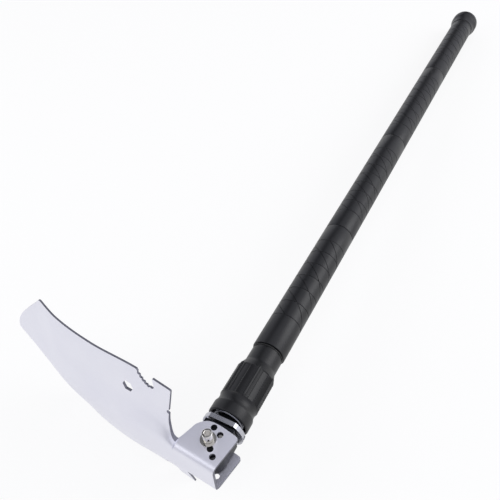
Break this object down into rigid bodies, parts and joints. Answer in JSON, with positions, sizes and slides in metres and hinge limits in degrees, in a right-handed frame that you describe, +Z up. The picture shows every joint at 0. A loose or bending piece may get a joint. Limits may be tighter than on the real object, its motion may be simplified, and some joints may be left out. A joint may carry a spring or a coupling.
{
  "type": "folding camp shovel",
  "caption": "Folding camp shovel with a stamped steel blade on a pivoted bracket, a screw locking collar and a screw-together tubular handle.",
  "frame": {"origin": "on the ground under the middle of the tool's box, with the tool lying on one wing of its blade and on its end cap", "axes": "+Y runs along the handle towards the end cap (about 4 degrees off its axis), +Z up along the pivot bolt, the blade reaches towards -X"},
  "size_m": [0.2552, 0.852, 0.1545],
  "materials": {
    "blade_steel": "satin stainless plate",
    "bolt_steel": "polished",
    "hinge_steel": "turned",
    "spring_steel": "drawn wire",
    "bronze": "machined",
    "nylon": "moulded",
    "rubber": "moulded",
    "collar_black": "black anodised, knurled",
    "tube_black": "black anodised, turned grip lines",
    "cap_black": "black anodised"
  },
  "bodies": {
    "root": {"hinge_head": "hinge_steel", "roll_pin_1": "spring_steel", "roll_pin_2": "spring_steel", "friction_washer_near": "nylon", "friction_washer_far": "nylon", "thrust_disc": "hinge_steel", "thrust_pin": "spring_steel", "brake_shoe": "bronze", "detent_spring": "spring_steel", "tube_1": "tube_black", "stop_ring": "nylon"},
    "blade": {"blade": "blade_steel", "pivot_bolt": "bolt_steel", "bolt_washer": "bolt_steel", "nut_washer": "bolt_steel", "lock_nut": "bolt_steel", "pivot_sleeve": "bronze"},
    "detent": {"detent_pin": "bolt_steel"},
    "collar_carrier": {"thrust_washer": "hinge_steel", "lock_spring": "spring_steel"},
    "collar": {"lock_collar": "collar_black"},
    "tube_2_carrier": {"seal_2": "rubber"},
    "tube_2": {"coupler_2": "tube_black", "tube_2": "tube_black"},
    "tube_3_carrier": {"seal_3": "rubber"},
    "tube_3": {"coupler_3": "tube_black", "tube_3": "tube_black"},
    "tube_4_carrier": {"seal_4": "rubber"},
    "tube_4": {"coupler_4": "tube_black", "tube_4": "tube_black"},
    "cap_carrier": {"cap_seal": "rubber"},
    "cap": {"end_cap": "cap_black"}
  },
  "joints": [
    {"name": "blade_fold", "type": "hinge", "parent": "root", "child": "blade", "pos_m": [0.10671, -0.4038, 0.07702], "axis": [0.0099, 0.0701, 0.9975], "range_deg": [-77.5, 99.4]},
    {"name": "detent_press", "type": "slide", "parent": "root", "child": "detent", "axis": [0.0099, 0.0701, 0.9975], "range_m": [-0.003, 0], "stiffness_N_per_m": 400, "springref_m": 0.002, "deforming": ["detent_spring"]},
    {"name": "collar_travel", "type": "slide", "parent": "root", "child": "collar_carrier", "axis": [0.0003, -0.9975, 0.0701], "range_m": [0, 0.004]},
    {"name": "collar_turn", "type": "hinge", "parent": "collar_carrier", "child": "collar", "pos_m": [0.10669, -0.34395, 0.07281], "axis": [0.0003, -0.9975, 0.0701], "range_deg": [0, 721]},
    {"name": "tube_2_travel", "type": "slide", "parent": "root", "child": "tube_2_carrier", "axis": [-0.0003, 0.9975, -0.0701], "range_m": [0, 0.018]},
    {"name": "tube_2_turn", "type": "hinge", "parent": "tube_2_carrier", "child": "tube_2", "pos_m": [0.10662, -0.12978, 0.05776], "axis": [-0.0003, 0.9975, -0.0701], "range_deg": [0, 3241]},
    {"name": "tube_3_travel", "type": "slide", "parent": "tube_2", "child": "tube_3_carrier", "axis": [-0.0003, 0.9975, -0.0701], "range_m": [0, 0.018]},
    {"name": "tube_3_turn", "type": "hinge", "parent": "tube_3_carrier", "child": "tube_3", "pos_m": [0.10655, 0.05127, 0.04503], "axis": [-0.0003, 0.9975, -0.0701], "range_deg": [0, 3241]},
    {"name": "tube_4_travel", "type": "slide", "parent": "tube_3", "child": "tube_4_carrier", "axis": [-0.0003, 0.9975, -0.0701], "range_m": [0, 0.018]},
    {"name": "tube_4_turn", "type": "hinge", "parent": "tube_4_carrier", "child": "tube_4", "pos_m": [0.10649, 0.23233, 0.0323], "axis": [-0.0003, 0.9975, -0.0701], "range_deg": [0, 3241]},
    {"name": "cap_travel", "type": "slide", "parent": "tube_4", "child": "cap_carrier", "axis": [-0.0003, 0.9975, -0.0701], "range_m": [0, 0.014]},
    {"name": "cap_turn", "type": "hinge", "parent": "cap_carrier", "child": "cap", "pos_m": [0.10643, 0.39543, 0.02083], "axis": [-0.0003, 0.9975, -0.0701], "range_deg": [0, 2521]}
  ],
  "couplings": [
    {"joint": "collar_turn", "follows": "collar_travel", "rad_per_m": 3141.6},
    {"joint": "tube_2_turn", "follows": "tube_2_travel", "rad_per_m": 3141.6},
    {"joint": "tube_3_turn", "follows": "tube_3_travel", "rad_per_m": 3141.6},
    {"joint": "tube_4_turn", "follows": "tube_4_travel", "rad_per_m": 3141.6},
    {"joint": "cap_turn", "follows": "cap_travel", "rad_per_m": 3141.6}
  ]
}
